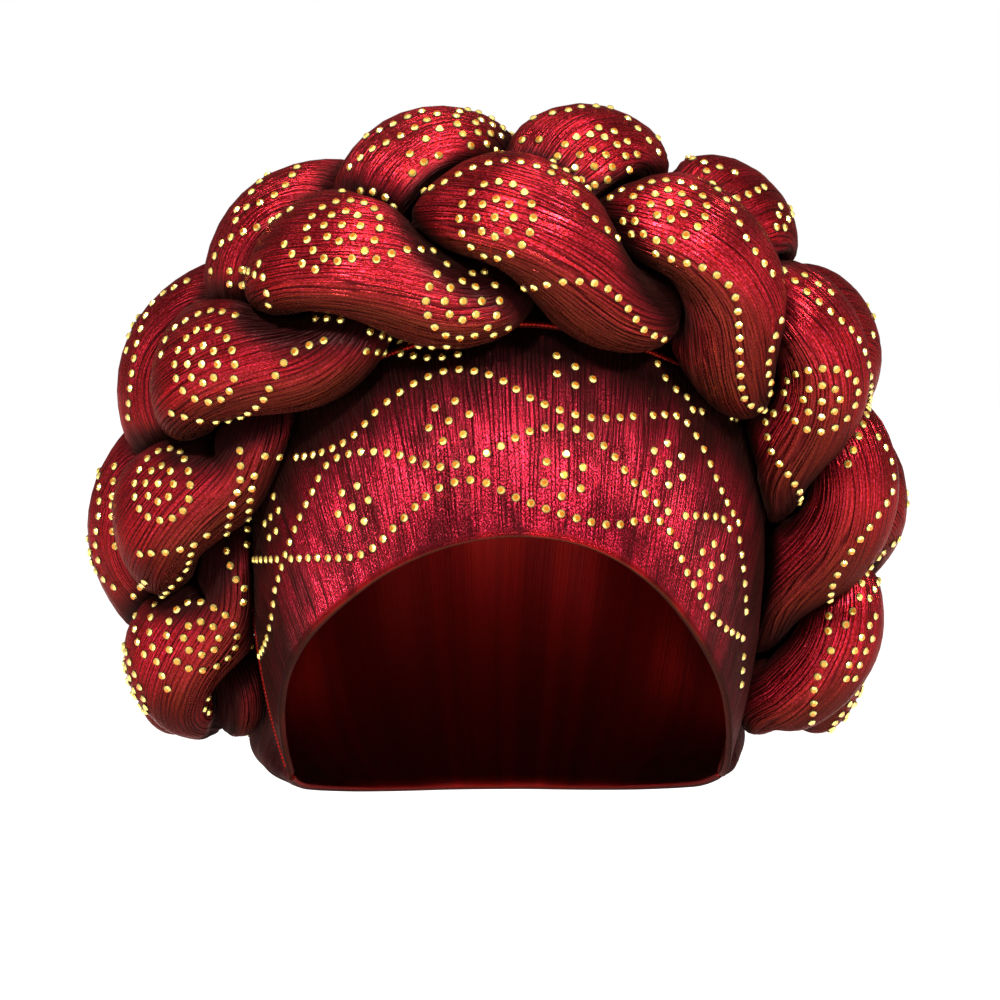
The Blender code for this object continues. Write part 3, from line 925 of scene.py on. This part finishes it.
# Dotted lines by a few pixels of the photo each, as their columns and their rows.
dottedLines = {
    "L1": (
        ((182, 170, 153, 137, 129, 135, 152), (551, 578, 593, 608, 631, 657, 694)),
        ((226, 221, 225, 237), (523, 545, 568, 592)),
        ((199, 194, 203), (699, 708, 715)),
        ((123, 109), (587, 602)),
    ),
    "L2": (
        ((213, 213, 205, 187, 163, 129), (447, 474, 498, 520, 534, 538)),
        ((110, 108, 109, 113), (461, 490, 525, 542)),
    ),
    "L3": (
        ((304, 273, 255, 242, 219, 187, 151), (328, 341, 366, 392, 409, 413, 404)),
        ((142, 150, 164, 191, 220), (343, 320, 309, 297, 303)),
    ),
    "L4": (
        ((270, 284, 311, 344, 376, 406), (241, 258, 267, 257, 246, 248)),
        ((248, 254, 256), (259, 283, 298)),
        ((272, 315, 348, 378, 409, 442, 471), (315, 311, 324, 334, 336, 329, 316)),
        ((320, 338, 354, 368), (192, 191, 194, 211)),
    ),
    "L5": (
        ((404, 423, 451, 484, 517, 542, 562, 587), (196, 188, 173, 166, 174, 193, 220, 243)),
        ((405, 427, 464, 498, 534, 570, 594, 609, 626), (238, 261, 277, 286, 280, 284, 307, 327, 335)),
    ),
    "L6": (
        ((600, 620, 654, 688, 717, 725, 726, 734, 763), (238, 260, 272, 280, 298, 332, 363, 399, 409)),
        ((696, 716, 732, 754, 764), (205, 225, 252, 278, 288)),
        ((770, 762, 757, 768), (326, 345, 377, 394)),
    ),
    "L7": (
        ((787, 813, 837, 858, 870, 871, 860, 848), (300, 322, 341, 360, 387, 420, 454, 483)),
        ((782, 776, 771, 776, 793, 804, 793, 779), (354, 400, 445, 466, 488, 507, 525, 535)),
        ((808, 834), (305, 321)),
    ),
    "L8": (
        ((869, 889, 892, 875, 846, 832, 829, 828), (454, 481, 511, 537, 573, 597, 620, 645)),
        ((898, 880, 862, 858), (555, 569, 593, 615)),
        ((885, 873, 864), (579, 601, 616)),
    ),
    "L9": (
        ((850, 835, 819, 808, 807, 805), (635, 660, 684, 705, 722, 735)),
        ((865, 848, 838, 838), (649, 673, 698, 705)),
        ((862, 854, 843), (667, 680, 706)),
    ),
    "O1": (
        ((100, 100, 97, 101), (460, 496, 522, 541)),
    ),
    "O2": (
        ((174, 145, 133, 126, 122, 121), (285, 303, 327, 358, 390, 415)),
    ),
    "O3": (
        ((284, 269, 241, 219), (168, 189, 205, 211)),
        ((277, 251, 224, 202, 192), (211, 225, 234, 246, 274)),
        ((212, 228, 241, 219, 207), (273, 272, 278, 288, 284)),
    ),
    "O4": (
        ((339, 361, 389, 416, 442, 455), (176, 159, 147, 133, 119, 116)),
        ((358, 382, 412, 424), (144, 134, 121, 117)),
        ((409, 420, 435, 451), (182, 172, 165, 160)),
    ),
    "O5": (
        ((518, 536, 569, 599, 630), (141, 135, 130, 125, 127)),
        ((571, 555, 566, 594, 627, 657, 665), (204, 178, 164, 148, 148, 168, 179)),
        ((517, 531), (158, 171)),
        ((649, 671, 689), (137, 155, 172)),
    ),
    "O6": (
        ((699, 735, 771), (185, 196, 208)),
        ((728, 765), (203, 212)),
        ((754, 779, 794), (237, 228, 221)),
        ((812, 808, 806), (243, 265, 279)),
        ((821, 817, 820), (258, 268, 282)),
    ),
    "panel": (
        ((366, 396, 434, 470, 500), (351, 353, 358, 352, 345)),
        ((265, 303, 344, 385, 416, 452, 489, 538, 593, 640),
         (456, 457, 443, 404, 383, 370, 375, 402, 418, 416)),
        ((640, 680, 701, 714, 727, 740), (416, 418, 446, 475, 504, 527)),
        ((692, 712, 735), (410, 414, 419)),
        ((276, 291, 311, 332, 362, 394, 440, 487, 535, 575, 605, 637, 673),
         (590, 541, 496, 461, 452, 454, 467, 453, 430, 429, 447, 486, 516)),
        ((673, 700, 722, 731), (516, 516, 519, 533)),
        ((249, 306, 365, 402, 441, 473, 517, 565, 611, 657, 691, 722, 745),
         (560, 558, 553, 520, 487, 480, 498, 515, 525, 520, 581, 626, 640)),
        ((736, 741, 744, 745, 743, 740), (525, 557, 589, 620, 650, 690)),
        ((657, 668, 690), (364, 383, 400)),
        ((257, 250, 246, 243), (462, 500, 555, 610)),
        ((276, 272, 266, 256), (590, 620, 644, 664)),
    ),
}
# Groups of seven, by the pixel of the middle stone.
clusters = {
    "px": (336, 449, 575, 353, 564, 668, 272, 711, 252),
    "py": (402, 421, 367, 507, 475, 464, 517, 565, 622),
}
stone = {
    "spacing": 0.0048,
    "lineGap": 0.0041,
    "radius": 0.00128,
    "height": 0.00105,
    "facets": 10,
    "rings": ((8, 0.0057), (16, 0.0114)),
    "clusterRadius": 0.0066,
    "clusterTurn": 20.0,
    "ringGap": 0.004,
    "ringReach": 0.014,
    "evenOver": 0.0014,
    "evenRise": 0.003,
    "evenReach": 0.008,
    "clearFrom": 0.0006,
    "clearance": 0.003,
    "castShare": 2.2,
    "leastAgree": 0.3,
    "leastFacing": 0.15,
    "levels": ((1.12, -0.25), (1.12, 0.16), (0.98, 0.34), (0.56, 1.0)),
    "spin": 2.4,
    "lean": 0.31,
    "capReach": 0.0022,
    "grain": 900.0,
    "darker": 0.75,
    "lighter": 1.2,
    "coatRough": 0.05,
}


def joinedTree(pieces):
    points, faces = [], []
    for piece in pieces:
        mesh = piece.data
        flat = np.empty(len(mesh.vertices) * 3, np.float32)
        mesh.vertices.foreach_get("co", flat)
        corners = np.empty(len(mesh.polygons) * 4, np.int32)
        mesh.polygons.foreach_get("vertices", corners)
        faces.append(corners.reshape(-1, 4) + sum(len(p) for p in points))
        points.append(flat.reshape(-1, 3))
    return BVHTree.FromPolygons(np.concatenate(points).tolist(), np.concatenate(faces).tolist())


hatTree = joinedTree(strands + [panel, bonnet])
placed = []


def throughPixel(px, py):
    # where the camera's ray through that pixel meets the hat
    place, right, up, back = cameraAxes()
    scale = view["sensor"] / view["lens"] / view["pixels"]
    half = view["pixels"] / 2
    ray = -back + right * ((px - half) * scale) + up * ((half - py) * scale)
    hit, normal, _, _ = hatTree.ray_cast(place, ray.normalized())
    return hit, normal


def evenNormal(point, normal):
    # the normal over a stone's width, so that a stone doesn't tip into one fold
    side = normal.orthogonal().normalized()
    other = normal.cross(side)
    total = Vector(normal)
    for step in (side, -side, other, -other):
        start = point + step * stone["evenOver"] + normal * stone["evenRise"]
        hit, found, _, _ = hatTree.ray_cast(start, -normal, stone["evenReach"])
        if hit is not None and found.dot(normal) > stone["leastAgree"]:
            total += found
    return total.normalized()


def addStone(point, normal, gap):
    for other, _ in placed:
        if (other - point).length < gap:
            return
    normal = evenNormal(point, normal)
    # a stone needs room above it
    blocked, _, _, _ = hatTree.ray_cast(point + normal * stone["clearFrom"], normal, stone["clearance"])
    if blocked is None:
        placed.append((point, normal))


def ontoSurface(middle, normal, across, along, reach):
    start = middle + across + along + normal * reach
    hit, found, _, _ = hatTree.ray_cast(start, -normal, reach * stone["castShare"])
    if hit is None or found.dot(normal) < stone["leastFacing"]:
        return None, None
    return hit, found


def addRings(middle, normal, rings, turn=0.0):
    side = normal.cross(Vector((0, 0, 1))).normalized()
    other = normal.cross(side)
    addStone(middle, normal, stone["ringGap"])
    for count, radius in rings:
        for k in range(count):
            angle = 2 * np.pi * (k + 0.5 * (count % 2)) / count + turn
            across, along = side * (radius * np.cos(angle)), other * (radius * np.sin(angle))
            hit, found = ontoSurface(middle, normal, across, along, stone["ringReach"])
            if hit is not None:
                addStone(hit, found, stone["ringGap"])


def moved(name, px, py):
    # from the lobe's box in the photo to its box here
    a, b = lobes[name]["photo"], lobes[name]["here"]
    x = b[0] + (px - a[0]) * (b[2] - b[0]) / (a[2] - a[0])
    y = b[1] + (py - a[1]) * (b[3] - b[1]) / (a[3] - a[1])
    return x, y


def addLine(name, pxs, pys):
    xs, ys = moved(name, np.array(pxs, float), np.array(pys, float))
    walked = walkedAlong(np.stack([xs, ys], -1))
    everyPixel = np.arange(0, walked[-1] + 0.5)
    # a straight line stops at its last pixel
    if len(xs) == 2:
        everyPixel = np.minimum(everyPixel, walked[-1])
    last = None
    for x, y in zip(smoothCurve(walked, xs, everyPixel), smoothCurve(walked, ys, everyPixel)):
        hit, normal = throughPixel(x, y)
        if hit is None:
            continue
        if last is None or (hit - last).length >= stone["spacing"]:
            addStone(hit, normal, stone["lineGap"])
            last = hit


def addPhotoStones():
    for name, lobe in lobes.items():
        for px, py in lobe["medallions"]:
            hit, normal = throughPixel(*moved(name, px, py))
            if hit is not None:
                addRings(hit, evenNormal(hit, normal), stone["rings"])
    for px, py in zip(clusters["px"], clusters["py"]):
        hit, normal = throughPixel(px, py)
        addRings(hit, normal, ((6, stone["clusterRadius"]),), np.radians(stone["clusterTurn"]))
    for name, lines in dottedLines.items():
        for pxs, pys in lines:
            addLine(name, pxs, pys)


addPhotoStones()
print("stones after the photo:", len(placed))


# A half is a phase of the strand in degrees, with how far to the rear its lobe faces.
lobePattern = {
    "halves": ((37.0, 0.0), (217.0, 0.0), (100.0, 1.3)),
    "turns": 6,
    "endSections": 20,
    "reach": 0.05,
    "apart": 0.017,
    "rowHalf": 9,
    "rowGap": 0.0052,
    "rowAhead": 0.020,
    "rowBow": 0.011,
    "rowReach": 0.020,
    "stoneGap": 0.0046,
}
waves = {
    "sweep": (112, 130, 148, 166),
    "swing": 5.0,
    "length": 28.0,
    "sides": 62,
    "step": 0.25,
    "reach": 0.006,
    "clusters": 3,
    "clusterSides": 60,
    "clusterTurn": 0.3,
}


def addLobe(sections, row, rearShare, turn):
    # the ring pattern with a bowed row beside it
    pattern = lobePattern
    centre = Vector(sections["middle"][row])
    out = Vector(unit(sections["deep"][row] + rearShare * sections["rear"][row]))
    hit, normal, _, _ = hatTree.ray_cast(centre + out * pattern["reach"], -out, pattern["reach"])
    if hit is None or min((p - hit).length for p, _ in placed) < pattern["apart"]:
        return
    addRings(hit, evenNormal(hit, normal), stone["rings"], turn)
    along = Vector(sections["along"][row])
    across = out.cross(along)
    half = pattern["rowHalf"]
    for k in range(-half, half + 1):
        ahead = along * (pattern["rowAhead"] - pattern["rowBow"] * (k / half) ** 2)
        spot, found = ontoSurface(hit, normal, across * (k * pattern["rowGap"]), ahead, pattern["rowReach"])
        if spot is not None:
            addStone(spot, found, pattern["stoneGap"])


def addLobeStones():
    # on every lobe that the photo doesn't show
    skip, turns = lobePattern["endSections"], lobePattern["turns"]
    for number, sections in enumerate(allSections):
        phase = np.degrees(sections["phase"])
        for half, rearShare in lobePattern["halves"]:
            for turn in range(-turns, turns + 1):
                wanted = half + 360 * turn
                if phase[skip] < wanted < phase[-skip]:
                    addLobe(sections, int(np.argmin(np.abs(phase - wanted))), rearShare, number)


def onBonnet(side, sweep):
    spot, out = Vector(capPoint(side, sweep)), Vector(capNormal(side, sweep))
    hit, found, _, _ = hatTree.ray_cast(spot + out * waves["reach"], -out, waves["reach"] * 2)
    return spot, hit, found


def addBonnetStones():
    # waves side by side with groups of seven between them, as on the panel
    for row, sweep in enumerate(waves["sweep"]):
        last = None
        for side in np.arange(-waves["sides"], waves["sides"], waves["step"]):
            wave = waves["swing"] * np.cos(2 * np.pi * side / waves["length"] + np.pi * row)
            spot, hit, found = onBonnet(side, sweep + wave)
            if last is not None and (spot - last).length < stone["spacing"]:
                continue
            last = spot
            if hit is not None:
                addStone(hit, found, stone["lineGap"])
        if row + 1 < len(waves["sweep"]):
            for k in range(-waves["clusters"], waves["clusters"] + 1):
                side = waves["length"] * (k + (0.5 if row % 2 == 0 else 0.0))
                _, hit, found = onBonnet(side, (sweep + waves["sweep"][row + 1]) / 2)
                if hit is not None and abs(side) < waves["clusterSides"]:
                    addRings(hit, found, ((6, stone["clusterRadius"]),), waves["clusterTurn"])


addLobeStones()
print("stones with all lobes:", len(placed))
addBonnetStones()
print("stones in all:", len(placed))


def stoneMaterial(name, look):
    # a little lighter and darker from one facet to the next
    material, tree, shader = newMaterial(name)
    place = addNode(tree, "ShaderNodeTexCoord", {}).outputs["Object"]
    noise = addNode(tree, "ShaderNodeTexNoise", {"Scale": stone["grain"], "Vector": place}).outputs["Fac"]
    dark = [c * stone["darker"] for c in look["colour"]]
    light = [min(1.0, c * stone["lighter"]) for c in look["colour"]]
    sockets = {
        "Base Color": mixColours(tree, noise, dark, light),
        "Metallic": look["metallic"],
        "Roughness": look["rough"],
        "Coat Weight": look["coat"],
        "Coat Roughness": stone["coatRough"],
    }
    fillSockets(tree, shader, sockets)
    return material


# In the order of the faces' material numbers.
stoneLooks = {
    "stone_crown": {"colour": (0.90, 0.66, 0.16), "metallic": 0.75, "rough": 0.22, "coat": 0.5},
    "stone_table": {"colour": (0.62, 0.20, 0.012), "metallic": 0.70, "rough": 0.18, "coat": 0.5},
    "stone_rim": {"colour": (0.05, 0.02, 0.008), "metallic": 0.60, "rough": 0.45, "coat": 0.0},
}
stoneMaterials = [stoneMaterial(name, look) for name, look in stoneLooks.items()]


def makeStones(name, chosen):
    # each stone is a closed dome with a girdle, ten crown facets and a flat table
    facets = stone["facets"]
    turn = 2 * np.pi * np.arange(facets) / facets
    circle = np.stack([np.cos(turn), np.sin(turn), 0 * turn], -1)
    up = np.array([0.0, 0.0, 1.0])
    levels = [circle * stone["radius"] * r + up * stone["height"] * h for r, h in stone["levels"]]
    shape = np.concatenate(levels)
    quads, looks = [], []
    for level in range(3):
        for k in range(facets):
            n = (k + 1) % facets
            a, b = level * facets, (level + 1) * facets
            quads.append((a + k, a + n, b + n, b + k))
            looks.append(2 if level < 2 else 0)
    points, faces, slots = [], [], []
    for index, (spot, normal) in enumerate(chosen):
        z = np.array(normal)
        spin = index * stone["spin"]
        x = unit(np.cross(z, np.array([np.cos(spin), np.sin(spin), stone["lean"]])))
        y = np.cross(z, x)
        points.append(np.array(spot) + shape[:, :1] * x + shape[:, 1:2] * y + shape[:, 2:] * z)
        base = index * len(shape)
        faces.extend(tuple(base + c for c in quad) for quad in quads)
        slots.extend(looks)
        faces.append(tuple(base + 3 * facets + k for k in range(facets)))
        slots.append(1)
        faces.append(tuple(base + k for k in range(facets - 1, -1, -1)))
        slots.append(2)
    mesh = bpy.data.meshes.new(name)
    mesh.from_pydata(np.concatenate(points).tolist(), [], faces)
    for material in stoneMaterials:
        mesh.materials.append(material)
    mesh.polygons.foreach_set("material_index", slots)
    mesh.shade_flat()
    piece = addObject(name, mesh)
    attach(piece, "root")


def onCap(entry):
    return abs(capRatio(np.array(entry[0])) - 1) * head["halfWidth"] < stone["capReach"]


makeStones("cap_stones", [p for p in placed if onCap(p)])
makeStones("braid_stones", [p for p in placed if not onCap(p)])
print("stones made")

# Floor, room and lamps.
stage = {
    "floor": -0.50,
    "radius": 30.0,
    "sides": 64,
    "fadeEnds": (0.5, 1.7),
    "shade": (0.80, 0.80, 0.79),
    "rough": 0.9,
    "white": (1.0, 1.0, 1.0),
    "room": 0.20,
    "wall": 1.0,
}
lamps = {
    "name": ("key", "fill", "top", "left", "right"),
    "x": (-0.62, 0.78, 0.10, -1.70, 1.70),
    "y": (-1.55, -1.50, -0.10, -0.30, -0.10),
    "z": (0.95, 0.85, 1.50, 0.30, 0.30),
    "wide": (0.14, 0.14, 0.80, 0.60, 0.60),
    "watts": (63.0, 51.0, 18.0, 6.0, 6.0),
    "aim": (0.0, 0.0, -0.08),
}


def makeFloor():
    mesh = bpy.data.meshes.new("floor")
    turn = np.linspace(0, 2 * np.pi, stage["sides"], endpoint=False)
    points = [(stage["radius"] * np.cos(t), stage["radius"] * np.sin(t), stage["floor"]) for t in turn]
    mesh.from_pydata(points, [], [tuple(range(stage["sides"]))])
    material, tree, shader = newMaterial("floor")
    place = addNode(tree, "ShaderNodeNewGeometry", {}).outputs["Position"]
    place = addNode(tree, "ShaderNodeSeparateXYZ", {"Vector": place}).outputs
    flat = addNode(tree, "ShaderNodeCombineXYZ", {"X": place["X"], "Y": place["Y"]}).outputs["Vector"]
    reach = addNode(tree, "ShaderNodeVectorMath", {0: flat}, operation="LENGTH").outputs["Value"]
    # far out the floor shines as the studio's white wall does, so no edge shows between them
    sockets = {
        "Emission Strength": fadeBetween(tree, reach, stage["fadeEnds"]),
        "Emission Color": stage["white"],
        "Base Color": stage["shade"],
        "Roughness": stage["rough"],
    }
    fillSockets(tree, shader, sockets)
    mesh.materials.append(material)
    floor = addObject("floor", mesh)


def makeRoom():
    # the hat is lit by a dim room, and the room's far wall looks white
    world = bpy.data.worlds.new("studio")
    world.use_nodes = True
    tree = world.node_tree
    seen = addNode(tree, "ShaderNodeLightPath", {}).outputs["Is Camera Ray"]
    values = {"Value": seen, "To Min": stage["room"], "To Max": stage["wall"]}
    level = addNode(tree, "ShaderNodeMapRange", values).outputs["Result"]
    fillSockets(tree, tree.nodes["Background"], {"Color": stage["white"], "Strength": level})
    bpy.context.scene.world = world
    bpy.context.scene.view_settings.view_transform = "Standard"


def makeLamps():
    for row, name in enumerate(lamps["name"]):
        data = bpy.data.lights.new(name, "AREA")
        data.shape = "SQUARE"
        data.size = lamps["wide"][row]
        data.energy = lamps["watts"][row]
        lamp = addObject(name, data)
        lamp.location = (lamps["x"][row], lamps["y"][row], lamps["z"][row])
        aim = lamp.location - Vector(lamps["aim"])
        lamp.rotation_euler = aim.to_track_quat("Z", "Y").to_euler()


makeFloor()
makeRoom()
makeLamps()
print("stage made")
